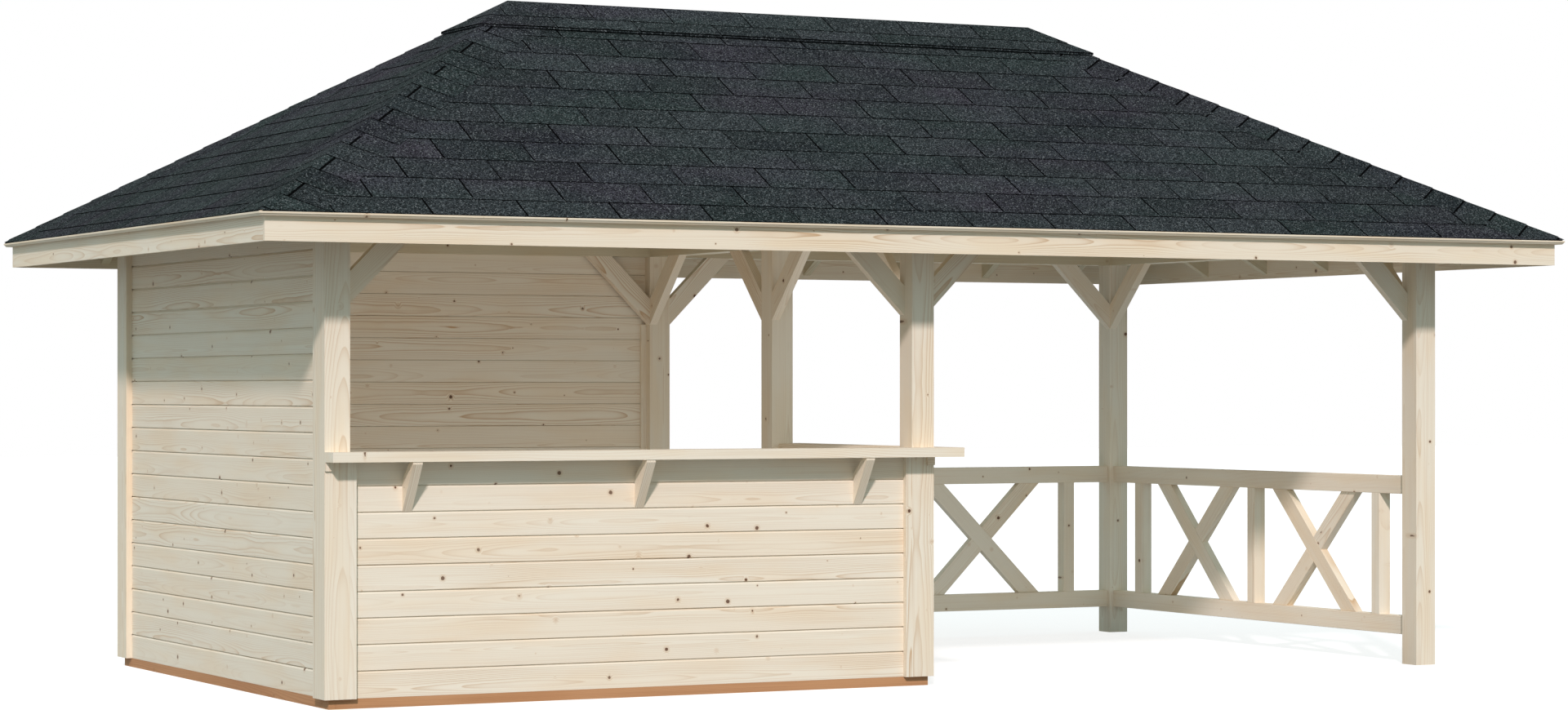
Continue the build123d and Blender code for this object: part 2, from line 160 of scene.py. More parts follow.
def wood_material(name, pale, warm, ring, knot, figure=1.0, gloss=0.62):
    """Planed softwood with growth rings, fine streaks and small knots."""
    material, tree, shader = new_material(name)
    grain = attribute(tree, "grain", "Vector")
    tone = attribute(tree, "tone", "Fac")
    tint = attribute(tree, "tint", "Fac")

    cells = scaled(tree, grain, [1 / size for size in KNOT_CELL])
    cell = add_node(tree, "ShaderNodeTexVoronoi", {"Vector": cells, "Scale": 1.0})
    inputs = {0: cells, 1: cell.outputs["Position"]}
    away = add_node(tree, "ShaderNodeVectorMath", inputs, operation="SUBTRACT").outputs[0]
    away = scaled(tree, away, KNOT_SPREAD)
    distance = add_node(tree, "ShaderNodeVectorMath", {0: away}, operation="LENGTH").outputs["Value"]
    ragged = fine_noise(tree, grain, 110.0, 2.0)
    distance = maths(tree, "MULTIPLY_ADD", ragged, KNOT_RAGGED, distance)
    chance = add_node(tree, "ShaderNodeSeparateColor", {0: cell.outputs["Color"]}).outputs
    size = maths(tree, "POWER", chance[0], 1.6)
    size = ranged(tree, size, 0.08, 1.0, *KNOT_RADIUS, smooth=False)
    share = maths(tree, "DIVIDE", distance, size)
    core = ranged(tree, share, 1.08, 0.90)
    halo = ranged(tree, share, 2.2, 0.9)
    bulge = maths(tree, "MULTIPLY", ranged(tree, share, 2.6, 0.4), size)

    across = scaled(tree, grain, (0.0, 1.0, 1.0))
    radius = add_node(tree, "ShaderNodeVectorMath", {0: across}, operation="LENGTH").outputs["Value"]
    sway = noise(tree, grain, (0.62, 2.0, 2.0), 1.0)
    ripple = noise(tree, grain, (3.0, 9.0, 9.0), 2.0)
    radius = maths(tree, "MULTIPLY_ADD", sway, RING_SWAY, radius)
    radius = maths(tree, "MULTIPLY_ADD", ripple, RING_RIPPLE, radius)
    radius = maths(tree, "MULTIPLY_ADD", bulge, RING_BULGE, radius)
    phase = maths(tree, "FRACT", maths(tree, "DIVIDE", radius, RING_WIDTH))
    rising = maths(tree, "POWER", phase, 3.6)
    falling = ranged(tree, phase, 1.0, 0.93)
    late_wood = maths(tree, "MULTIPLY", rising, falling)
    strength = ranged(tree, noise(tree, grain, (1.1, 5.0, 5.0), 1.0), 0.3, 0.75)
    strength = maths(tree, "MULTIPLY_ADD", strength, 0.95 * figure, 0.20 * figure)
    strength = maths(tree, "MULTIPLY", strength, ranged(tree, tint, 0.1, 0.95, 0.50, 1.20))
    late_wood = maths(tree, "MULTIPLY", late_wood, strength)

    patch = ranged(tree, noise(tree, grain, (1.7, 9.0, 9.0), 2.0), 0.42, 0.72)
    warmth = maths(tree, "MULTIPLY_ADD", patch, 0.55, maths(tree, "MULTIPLY", tone, 0.45))
    colour = blend_colours(tree, warmth, pale, warm)
    streak = ranged(tree, noise(tree, grain, (1.3, 90.0, 90.0), 3.0), 0.48, 0.75)
    streak = maths(tree, "MULTIPLY", streak, STREAK_SHARE * figure)
    colour = blend_colours(tree, streak, colour, ring)
    colour = blend_colours(tree, late_wood, colour, ring)
    colour = blend_colours(tree, maths(tree, "MULTIPLY", halo, HALO_SHARE), colour, ring)
    depth = ranged(tree, chance[1], 0.0, 1.0, 0.78, 1.0, smooth=False)
    colour = blend_colours(tree, maths(tree, "MULTIPLY", core, depth), colour, knot)
    tree.links.new(colour, shader.inputs["Base Color"])

    fibre = noise(tree, grain, (9.0, 520.0, 520.0), 2.0)
    relief = maths(tree, "MULTIPLY_ADD", late_wood, 0.6, maths(tree, "MULTIPLY", fibre, 0.6))
    tree.links.new(bump(tree, relief, FIBRE_DEPTH, 0.35), shader.inputs["Normal"])
    tree.links.new(maths(tree, "MULTIPLY_ADD", fibre, 0.16, gloss - 0.08), shader.inputs["Roughness"])
    shader.inputs["Specular IOR Level"].default_value = 0.3
    return material


# Each wood's colours: pale and warm wood, late wood in the rings, and knots
KNOT_BROWN = (0.105, 0.043, 0.020)
SPRUCE = wood_material(
    "spruce", (0.85, 0.785, 0.665), (0.84, 0.71, 0.535), (0.58, 0.385, 0.22), KNOT_BROWN,
)
PANEL_SPRUCE = wood_material(
    "panel_spruce", (0.86, 0.795, 0.675), (0.85, 0.715, 0.545), (0.58, 0.38, 0.215), KNOT_BROWN,
)
ROOF_SPRUCE = wood_material(
    "roof_spruce", (0.82, 0.755, 0.635), (0.80, 0.67, 0.50), (0.54, 0.36, 0.205), KNOT_BROWN,
)
# Darker and more olive than the spruce: painted shade for the roof frame, which lies in shade under the
# roof.
SHADED_FRAME_SPRUCE = wood_material(
    "frame_spruce_painted_shade", (0.640, 0.595, 0.455), (0.610, 0.520, 0.355), (0.42, 0.28, 0.15), KNOT_BROWN,
)
TREATED = wood_material(
    "treated_timber", (0.56, 0.300, 0.150), (0.47, 0.225, 0.100), (0.30, 0.125, 0.05),
    (0.06, 0.022, 0.01), figure=1.3, gloss=0.7,
)


# Bitumen shingles
GREENISH = ((0.0230, 0.0315, 0.0315), (0.0280, 0.0330, 0.0360))
BLUISH = ((0.0275, 0.0300, 0.0360), (0.0330, 0.0305, 0.0390))
DARK_BLOTCH = (0.0140, 0.0165, 0.0210)
PALE_GRANULE = (0.24, 0.26, 0.27)
GRANULES_A_METRE = 210.0
GRIT_A_METRE = 620.0
GRANULE_DEPTH = 0.0009


def shingle_material():
    """Bitumen with mineral granules: speckled, and clouded from tab to tab."""
    material, tree, shader = new_material("bitumen_shingles")
    place = add_node(tree, "ShaderNodeTexCoord").outputs["Object"]
    tone = attribute(tree, "tone", "Fac")
    tint = attribute(tree, "tint", "Fac")
    cloud = noise(tree, place, (1.0, 2.2, 2.2), 2.0)
    blotch = noise(tree, place, (1.6, 3.4, 3.4), 2.0)
    greenish = blend_colours(tree, tint, *GREENISH)
    bluish = blend_colours(tree, tint, *BLUISH)
    colour = blend_colours(tree, ranged(tree, cloud, 0.42, 0.68), greenish, bluish)
    dark = maths(tree, "MULTIPLY", ranged(tree, blotch, 0.50, 0.76), 0.6)
    colour = blend_colours(tree, dark, colour, DARK_BLOTCH)
    shade = maths(tree, "MULTIPLY_ADD", tone, 0.36, 0.86)
    grains = add_node(tree, "ShaderNodeTexVoronoi", {"Vector": place, "Scale": GRANULES_A_METRE})
    chance = add_node(tree, "ShaderNodeSeparateColor", {0: grains.outputs["Color"]}).outputs
    speckle = maths(tree, "MULTIPLY_ADD", maths(tree, "POWER", chance[0], 2.0), 2.05, 0.26)
    shade = maths(tree, "MULTIPLY", shade, speckle)
    inputs = {0: colour, "Scale": shade}
    colour = add_node(tree, "ShaderNodeVectorMath", inputs, operation="SCALE").outputs[0]
    # No pale granules on cut edges, nor on the painted shade in the slots and open joints.
    uncut_and_unshaded = ranged(tree, tone, -0.4, -0.1)
    bright = maths(tree, "MULTIPLY", ranged(tree, chance[1], 0.90, 0.99), 0.60)
    colour = blend_colours(tree, maths(tree, "MULTIPLY", bright, uncut_and_unshaded), colour, PALE_GRANULE)
    tree.links.new(colour, shader.inputs["Base Color"])
    grit = fine_noise(tree, place, GRIT_A_METRE, 1.0)
    relief = maths(tree, "MULTIPLY_ADD", chance[2], 0.5, grit)
    tree.links.new(bump(tree, relief, GRANULE_DEPTH, 0.55), shader.inputs["Normal"])
    shader.inputs["Roughness"].default_value = 0.92
    shader.inputs["Specular IOR Level"].default_value = 0.01
    return material


SHINGLE = shingle_material()


# Meshes with their attributes
CUT_TONE = -2.5           # tone of a shingle's cut edges
GAP_SHADE_LOOKS = (-2.2, 0.5)  # tone and tint of the near-black sheet in the slots and open joints: painted shade
PALE_LOOKS = (1.0, 0.5)   # the same of a pale line in a slot
CAP_LOOKS = (0.2, 0.5)    # the same of the cap's sheet
PITH_DEPTH = (0.018, 0.085)   # how far from the pith a piece was sawn
PITH_SIDE = 0.05
LOG_LENGTH = 60.0


class Batch:
    """Points and faces of many like pieces, gathered for one object."""

    def __init__(self, seed):
        self.points = []
        self.faces = []
        self.grain = []
        self.tone = []
        self.tint = []
        self.random = Random(SEED + seed)

    def looks(self):
        """A random tone and tint for a piece."""
        return self.random.random(), self.random.random()

    def add(self, points, faces, grain=None, looks=None, cut_faces=()):
        """Add one piece with a tone and tint of its own; some of its faces may be dark cuts."""
        start = len(self.points)
        tone, tint = looks or self.looks()
        self.points.extend(points)
        self.faces.extend([start + corner for corner in face] for face in faces)
        self.grain.extend(grain or [(0.0, 0.0, 0.0)] * len(points))
        self.tone.extend(CUT_TONE if index in cut_faces else tone for index in range(len(faces)))
        self.tint.extend([tint] * len(faces))

    def log_place(self):
        """A random place for a piece in its log: along the grain and from the pith."""
        side = self.random.choice((-1, 1))
        depth = side * self.random.uniform(*PITH_DEPTH)
        along = self.random.uniform(0.0, LOG_LENGTH)
        return along, self.random.uniform(-PITH_SIDE, PITH_SIDE), depth

    def finish(self, name, material, slot, *nodes):
        """Make the object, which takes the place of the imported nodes."""
        mesh = bpy.data.meshes.new(name)
        mesh.from_pydata(self.points, [], self.faces)
        mesh.update()
        places = [part for place in self.grain for part in place]
        mesh.attributes.new("grain", "FLOAT_VECTOR", "POINT").data.foreach_set("vector", places)
        mesh.attributes.new("tone", "FLOAT", "FACE").data.foreach_set("value", self.tone)
        mesh.attributes.new("tint", "FLOAT", "FACE").data.foreach_set("value", self.tint)
        mesh.materials.append(material)
        piece = bpy.data.objects.new(name, mesh)
        bpy.context.scene.collection.objects.link(piece)
        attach(piece, "root")
        if nodes:
            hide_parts(*nodes)
        return piece


def clip(outline, point, normal):
    """The part of a convex outline on the side of a line that the normal points to."""
    kept = []
    heights = [(x - point[0]) * normal[0] + (y - point[1]) * normal[1] for x, y in outline]
    for index, (x, y) in enumerate(outline):
        before = index - 1
        if heights[before] * heights[index] < 0:
            share = heights[before] / (heights[before] - heights[index])
            old_x, old_y = outline[before]
            kept.append((old_x + (x - old_x) * share, old_y + (y - old_y) * share))
        if heights[index] >= 0:
            kept.append((x, y))
    return kept


def inset(outline, distance):
    """A convex outline moved inwards, drawn anticlockwise."""
    moved = []
    count = len(outline)
    for index in range(count):
        corner = Vector(outline[index])
        before = (corner - Vector(outline[index - 1])).normalized()
        after = (Vector(outline[(index + 1) % count]) - corner).normalized()
        turn = before.x * after.y - before.y * after.x
        along = before.dot(after)
        reach = distance * (1 - along) / turn if abs(turn) > 1e-6 else 0.0
        inward = Vector((-after.y, after.x))
        moved.append(tuple(corner + inward * distance + after * reach))
    return moved


def slab(outline, bottom, top, edge):
    """Points and faces of a convex slab with bevelled rims."""
    count = len(outline)
    small = inset(outline, edge)
    rings = [(small, bottom), (outline, bottom + edge), (outline, top - edge), (small, top)]
    points = [(x, y, height) for ring, height in rings for x, y in ring]
    faces = [list(range(count))[::-1]]
    for level in range(len(rings) - 1):
        start = level * count
        for index in range(count):
            after = (index + 1) % count
            faces.append([start + index, start + after, start + count + after, start + count + index])
    start = (len(rings) - 1) * count
    faces.append([start + index for index in range(count)])
    return points, faces


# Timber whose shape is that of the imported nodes, with planed edges and a grain of its own
WELD = 0.00001             # points nearer than this are one
FLAT_ANGLE = radians(1)    # faces that meet at less are one
SHARP_ANGLE = radians(15)  # edges that turn by more are planed round
LENGTHWISE = 0.2           # most that a face's normal may lean towards the grain


def loose_parts(source):
    """The separate solids of a mesh, in the order of their first faces, each as its faces."""
    left = set(source.faces)
    for first in source.faces:
        if first not in left:
            continue
        left.remove(first)
        found = {first}
        reached = [first]
        while reached:
            face = reached.pop()
            for edge in face.edges:
                for neighbour in edge.link_faces:
                    if neighbour in left:
                        left.remove(neighbour)
                        found.add(neighbour)
                        reached.append(neighbour)
        yield sorted(found, key=lambda face: face.index)


def grain_axes(faces):
    """The grain's direction, along the longest edge, and the normal of the widest face along it."""
    edges = sorted({edge for face in faces for edge in face.edges}, key=lambda edge: edge.index)
    longest = max(edges, key=lambda edge: round(edge.calc_length(), 4))
    along = (longest.verts[1].co - longest.verts[0].co).normalized()
    if max(along, key=abs) < 0:
        along.negate()
    sides = [face for face in faces if abs(face.normal.dot(along)) < LENGTHWISE]
    widest = max(sides, key=lambda face: round(face.calc_area(), 5))
    normal = (widest.normal - along * widest.normal.dot(along)).normalized()
    return along, normal.cross(along), normal


def timber(node, material, slot, seed, arris):
    """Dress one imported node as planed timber, each of its solids with its own grain."""
    source = bmesh.new()
    source.from_mesh(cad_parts[node].data)
    bmesh.ops.remove_doubles(source, verts=source.verts, dist=WELD)
    bmesh.ops.dissolve_limit(
        source, angle_limit=FLAT_ANGLE, verts=source.verts, edges=source.edges,
        use_dissolve_boundaries=False,
    )
    source.faces.index_update()
    source.edges.index_update()
    batch = Batch(seed)
    for faces in loose_parts(source):
        along, side, normal = grain_axes(faces)
        corners = {corner for face in faces for corner in face.verts}
        corners = sorted(corners, key=lambda corner: corner.index)
        numbers = {corner: index for index, corner in enumerate(corners)}
        solid = bmesh.new()
        copies = [solid.verts.new(corner.co) for corner in corners]
        for face in faces:
            solid.faces.new([copies[numbers[corner]] for corner in face.verts])
        sharp = [edge for edge in solid.edges if edge.calc_face_angle(0) > SHARP_ANGLE]
        bmesh.ops.bevel(
            solid, geom=sharp, offset=arris, offset_type="OFFSET", segments=2, profile=0.5,
            affect="EDGES", clamp_overlap=True,
        )
        solid.verts.index_update()
        middle = sum((corner.co for corner in corners), Vector()) / len(corners)
        start, beside, deep = batch.log_place()
        grain = [
            (
                corner.co.dot(along) + start,
                (corner.co - middle).dot(side) + beside,
                (corner.co - middle).dot(normal) + deep,
            )
            for corner in solid.verts
        ]
        points = [tuple(corner.co) for corner in solid.verts]
        batch.add(points, [[corner.index for corner in face.verts] for face in solid.faces], grain)
        solid.free()
    source.free()
    return batch.finish(f"dressed_{node}", material, slot, node)


POSTS = (
    "front_left_post", "front_middle_post", "front_right_post",
    "back_left_post", "back_middle_post", "back_right_post", "partition_post",
)
BASE_BEAMS = ("base_beams_front_back", "base_beams_left_partition")
ROOF_FRAME = (
    "plates_front_back", "plates_left_middle_right", "ridge_beam", "rafters_front_back",
    "rafters_left_right", "hip_rafters", "ridge_cap_battens",
)
BRACES = ("front_knee_braces", "back_knee_braces", "side_knee_braces", "partition_knee_braces")
BATTENS = ("left_wall_battens", "back_wall_battens", "bar_wall_battens")
TIMBERS = (               # nodes, wood, slot and rounding of the edges
    (POSTS, SPRUCE, "post_timber", 0.003),
    (BASE_BEAMS, TREATED, "treated_base_timber", ARRIS),
    (ROOF_FRAME, SHADED_FRAME_SPRUCE, "roof_frame_timber", ARRIS),
    (BRACES, SPRUCE, "brace_timber", ARRIS),
    (BATTENS, SPRUCE, "batten_timber", 0.0015),
    (("front_counter", "side_counter"), SPRUCE, "counter_timber", 0.004),
    (("counter_brackets", "counter_cleats"), SPRUCE, "bracket_timber", ARRIS),
    (("fascia_front_back", "fascia_left_right"), SPRUCE, "fascia_boards", ARRIS),
)
SEEDS_A_GROUP = 10
for group, (nodes, wood, slot, arris) in enumerate(TIMBERS):
    for number, node in enumerate(nodes):
        timber(node, wood, slot, SEEDS_A_GROUP * group + number, arris)


# Tongue and groove wall boards
BOARD_COVER = 0.1180      # from one joint to the next
FIRST_JOINT = 0.1190      # the lowest board's top, from the wall's foot
GROOVE = 0.0045           # open joint under a board's lower edge
CHAMFER_HEIGHT = 0.0075   # slope on a board's upper edge, which catches the light
CHAMFER_DEPTH = 0.0038
TONGUE_DEPTH = 0.0085     # from the boards' face back to the tongue in the joint
BOARD_ARRIS = 0.0010
TOP_BOARD = 1.2           # most that the top board is high, as a share of the cover
BACK_GROOVE = 0.0025      # the same joint at the back
BACK_CHAMFER = 0.0015
BACK_DEPTH = 0.0080


def wall_boards(name, node, outward, seed):
    """Build a wall of level boards in the place of a packed slab, its chamfers facing outward."""
    bottom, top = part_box(node)
    outward = Vector(outward)
    along = Vector((0, 0, 1)).cross(outward)
    size = top - bottom
    length = abs(size.dot(along))
    thickness = abs(size.dot(outward))
    middle = (bottom + top) / 2
    joints = [bottom.z]
    while top.z - joints[-1] > TOP_BOARD * BOARD_COVER:
        joints.append(bottom.z + FIRST_JOINT + (len(joints) - 1) * BOARD_COVER)
    joints.append(top.z)
    count = len(joints) - 1
    batch = Batch(seed)
    for index in range(count):
        foot, head = joints[index:index + 2]
        gap = GROOVE if index else 0.0
        back_gap = BACK_GROOVE if index else 0.0
        face = thickness / 2
        back = -thickness / 2
        outline = [
            (back, foot + back_gap + BACK_CHAMFER),
            (back + BACK_CHAMFER, foot + back_gap),
            (back + BACK_DEPTH, foot + back_gap),
            (back + BACK_DEPTH, foot),
            (face - TONGUE_DEPTH, foot),
            (face - TONGUE_DEPTH, foot + gap),
            (face - BOARD_ARRIS, foot + gap),
            (face, foot + gap + BOARD_ARRIS),
            (face, head - CHAMFER_HEIGHT),
            (face - CHAMFER_DEPTH, head),
            (back + BACK_CHAMFER, head),
            (back, head - BACK_CHAMFER),
        ]
        if index == count - 1:
            outline[8:10] = [(face, head - BOARD_ARRIS), (face - BOARD_ARRIS, head)]
        if not gap:
            outline[2:8] = [(face - BOARD_ARRIS, foot), (face, foot + BOARD_ARRIS)]
        points = []
        grain = []
        start, beside, deep = batch.log_place()
        for end in (-length / 2, length / 2):
            for out, level in outline:
                spot = middle + along * end + outward * out
                points.append((spot.x, spot.y, level))
                grain.append((end + start, level - (foot + head) / 2 + beside, out + deep))
        sides = len(outline)
        faces = [list(range(sides)), list(range(2 * sides - 1, sides - 1, -1))]
        for corner in range(sides):
            after = (corner + 1) % sides
            faces.append([after, corner, sides + corner, sides + after])
        batch.add(points, faces, grain)
    return batch.finish(name, PANEL_SPRUCE, "wall_boards", node)


wall_boards("left_wall_boards", "left_wall", (-1, 0, 0), 100)
wall_boards("back_wall_boards", "back_wall", (0, 1, 0), 101)
wall_boards("bar_front_boards", "bar_front_wall", (0, -1, 0), 102)
wall_boards("bar_side_boards", "bar_side_wall", (1, 0, 0), 103)


# Railings
RAIL_HEIGHT = 0.095
BALUSTER = 0.070
END_BALUSTER_GAP = 0.265  # from a post's face to the middle of the nearest baluster
CROSS_WIDTH = 0.095
CROSS_THICKNESS = 0.045
BAR_ARRIS = 0.7 * ARRIS


def bar(batch, outline, half_thickness, place, along):
    """Add one flat bar, given as an outline in the panel's plane, with its grain along it."""
    direction = Vector(along).normalized()
    start, beside, deep = batch.log_place()
    points, faces = slab(outline, -half_thickness, half_thickness, BAR_ARRIS)
    grain = [
        (x * direction.x + y * direction.y + start, y * direction.x - x * direction.y + beside, h + deep)
        for x, y, h in points
    ]
    batch.add([place(*point) for point in points], faces, grain)


def oblong(left, right, foot, head):
    """An upright rectangle, drawn anticlockwise."""
    return [(left, foot), (right, foot), (right, head), (left, head)]


def railing(name, node, along, seed):
    """Build a railing of rails, balusters and halved crosses in the place of a packed panel."""
    bottom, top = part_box(node)
    along = Vector(along)
    across = along.cross(Vector((0, 0, 1)))
    middle = (bottom + top) / 2
    length = abs((top - bottom).dot(along))
    thickness = abs((top - bottom).dot(across))

    def place(x, level, out):
        spot = middle + along * x + across * out
        return (spot.x, spot.y, level)

    batch = Batch(seed)
    half = length / 2
    lower = bottom.z + RAIL_HEIGHT
    upper = top.z - RAIL_HEIGHT
    for foot, head in ((bottom.z, lower), (upper, top.z)):
        bar(batch, oblong(-half, half, foot, head), thickness / 2, place, (1, 0))
    end_place = half - END_BALUSTER_GAP
    for x in (-end_place, 0.0, end_place):
        outline = oblong(x - BALUSTER / 2, x + BALUSTER / 2, lower, upper)
        bar(batch, outline, BALUSTER / 2, place, (0, 1))
    level = (lower + upper) / 2
    half_width = CROSS_WIDTH / 2
    reach = (upper - lower) / 2
    for x in (-end_place / 2, end_place / 2):
        cut = half_width / sin(pi / 4)
        falling = [
            (x + reach - cut, lower), (x + reach + cut, lower),
            (x - reach + cut, upper), (x - reach - cut, upper),
        ]
        bar(batch, falling, CROSS_THICKNESS / 2, place, (-1, 1))
        rising = [(2 * x - across_bar, height) for across_bar, height in falling][::-1]
        rising = rising[-2:] + rising[:-2]
        for sign in (-1, 1):
            side = (sign * sin(pi / 4), sign * sin(pi / 4))
            joint = (x + side[0] * half_width, level + side[1] * half_width)
            bar(batch, clip(rising, joint, side), CROSS_THICKNESS / 2, place, (1, 1))
    return batch.finish(name, SPRUCE, "railing_timber", node)


railing("right_railing_bars", "right_railing", (0, -1, 0), 110)
railing("back_railing_bars", "back_railing", (1, 0, 0), 111)


# Roof slopes. Each has its own axes: x along the eave, t up the slope from the eave, and h
# square to it, from the upper face of the roof boards.
class Slope:
    """One roof slope, seen from outside with the eave at the bottom."""

    def __init__(self, name, outward, half_eave, distance):
        self.name = name
        self.outward = Vector(outward)
        self.along = Vector((0, 0, 1)).cross(self.outward)
        self.half_eave = half_eave
        self.up = -self.outward * cos(PITCH) + Vector((0, 0, sin(PITCH)))
        self.normal = self.outward * sin(PITCH) + Vector((0, 0, cos(PITCH)))
        self.origin = self.outward * distance + Vector((0, 0, EAVE_Z))

    def place(self, x, t, h):
        """A point of the slope in the frame."""
        return tuple(self.origin + self.along * x + self.up * t + self.normal * h)

    def clipped(self, outline, gap=0.0, foot=None, head=None):
        """An outline cut back to the hips, and to a level at its foot and head if one is given."""
        for sign in (-1, 1):
            corner = (sign * (self.half_eave - gap), 0.0)
            outline = clip(outline, corner, (-sign, -cos(PITCH)))
        if foot is not None:
            outline = clip(outline, (0.0, foot), (0, 1))
        if head is not None:
            outline = clip(outline, (0.0, head), (0, -1))
        return outline


SLOPES = [
    Slope("front", (0, -1, 0), EAVE_X, EAVE_Y),
    Slope("back", (0, 1, 0), EAVE_X, EAVE_Y),
    Slope("left", (-1, 0, 0), EAVE_Y, EAVE_X),
    Slope("right", (1, 0, 0), EAVE_Y, EAVE_X),
]

# Roof boards, with a lip along the eave
ROOF_BOARD = 0.020
ROOF_BOARD_COVER = 0.1215
ROOF_JOINT = 0.0025
LEAST_BOARD = 0.020       # the last board starts at least this far below the ridge
RIDGE_GAP = 0.012         # boards and tabs end this far below the ridge
LIP = [(0.0, 0.0), (0.0, -0.0070), (0.0030, -0.0070), (0.0030, -0.0085), (0.0098, -0.0172)]


def eave_profile():
    """The eave board's outer edge, from its top down, in the slope's own t and h."""
    return [
        (inward * cos(PITCH) + level * sin(PITCH), level * cos(PITCH) - inward * sin(PITCH))
        for inward, level in LIP
    ]


def eave_board(slope, batch):
    """Add the outermost board, whose edge has the lip."""
    inner = ROOF_BOARD_COVER
    profile = eave_profile()
    profile += [(inner - ROOF_JOINT, -ROOF_BOARD), (inner, ROOF_JOINT - ROOF_BOARD), (inner, 0.0)]
    start, beside, deep = batch.log_place()
    points = []
    grain = []
    for sign in (-1, 1):
        for t, h in profile:
            x = sign * (slope.half_eave - t * cos(PITCH) + h * sin(PITCH))
            points.append(slope.place(x, t, h))
            grain.append((x + start, t + beside, h + deep))
    count = len(profile)
    faces = [list(range(count))[::-1], list(range(count, 2 * count))]
    for corner in range(count):
        after = (corner + 1) % count
        faces.append([corner, after, count + after, count + corner])
    batch.add(points, faces, grain)


def roof_boards(slope, seed):
    """Build one slope's boards, level and mitred at the hips."""
    batch = Batch(seed)
    eave_board(slope, batch)
    t = ROOF_BOARD_COVER
    while t < SLOPE_LENGTH - LEAST_BOARD:
        outline = oblong(-slope.half_eave, slope.half_eave, t, t + ROOF_BOARD_COVER)
        outline = slope.clipped(outline, head=SLOPE_LENGTH - RIDGE_GAP)
        if len(outline) > 2:
            points, faces = slab(outline, -ROOF_BOARD, 0.0, ROOF_JOINT)
            start, beside, deep = batch.log_place()
            grain = [(x + start, y - t + beside, h + deep) for x, y, h in points]
            batch.add([slope.place(*point) for point in points], faces, grain)
        t += ROOF_BOARD_COVER
    name = f"roof_boards_{slope.name}"
    return batch.finish(f"dressed_{name}", ROOF_SPRUCE, "roof_boards", name)


for number, slope in enumerate(SLOPES):
    roof_boards(slope, 120 + number)

# Shingles on the slopes: courses of tabs with open slots, on a near-black sheet whose tone in the slots is
# painted shade
EXPOSURE = {"front": 0.1990, "back": 0.1990, "left": 0.1730, "right": 0.1730}
FIRST_COURSE = {"front": 0.156, "back": 0.156, "left": 0.100, "right": 0.100}
# Where one slot of a course lies, from the eave's middle, and the widths of the tabs after it
EVEN_TABS = (0.009, (0.450, 0.452, 0.458))
ODD_TABS = (-0.224, (0.480, 0.440, 0.440))
SLOT = 0.0095
COURSE_LAP = 0.035
HIP_GAP = 0.012
FOOT_TOP, FOOT_UNDER = 0.0048, 0.0019
HEAD_TOP, HEAD_UNDER = 0.0010, 0.0003
UNDERLAY = 0.0006
UNDERLAY_GAP = 0.010      # the sheet ends this far below the ridge
LEAST_COURSE = 0.030      # the last course starts at least this far below the ridge
TAB_LIFT = 0.0003         # most that a tab lies higher or lower than the next
TAB_CUTS = (Vector((1, 0)), Vector((0, 1)))
PALE_SLOTS = 0.35         # share of the slots in which a pale line of granules shows
PALE_PLACE = (0.35, 0.65)  # where in the slot it lies
PALE_HALF = 0.0011
PALE_TOP = 0.0012
PARALLEL = 0.95           # least product of two directions that are taken as one


def tab_spans(half_eave, scale, course):
    """Left and right ends of a course's tabs across the whole eave."""
    start, widths = ODD_TABS if course % 2 else EVEN_TABS
    x = start * scale
    while x > -half_eave:
        x -= sum(widths) * scale
    index = 0
    while x < half_eave:
        width = widths[index % len(widths)] * scale
        yield x + SLOT / 2, x + width - SLOT / 2
        x += width
        index += 1


def sheet_piece(batch, outline, top, under, place, looks=None, cuts=()):
    """Add one thin piece: top and under give its faces' heights at any place on it.

    Its edges that run in one of the directions in cuts are dark.
    """
    count = len(outline)
    cut_faces = []
    points = [place(x, y, under(x, y)) for x, y in outline]
    points += [place(x, y, top(x, y)) for x, y in outline]
    faces = [list(range(count))[::-1], list(range(count, 2 * count))]
    for corner in range(count):
        after = (corner + 1) % count
        edge = (Vector(outline[after]) - Vector(outline[corner])).normalized()
        if any(abs(edge.dot(direction)) > PARALLEL for direction in cuts):
            cut_faces.append(len(faces))
        faces.append([corner, after, count + after, count + corner])
    batch.add(points, faces, None, looks, cut_faces)


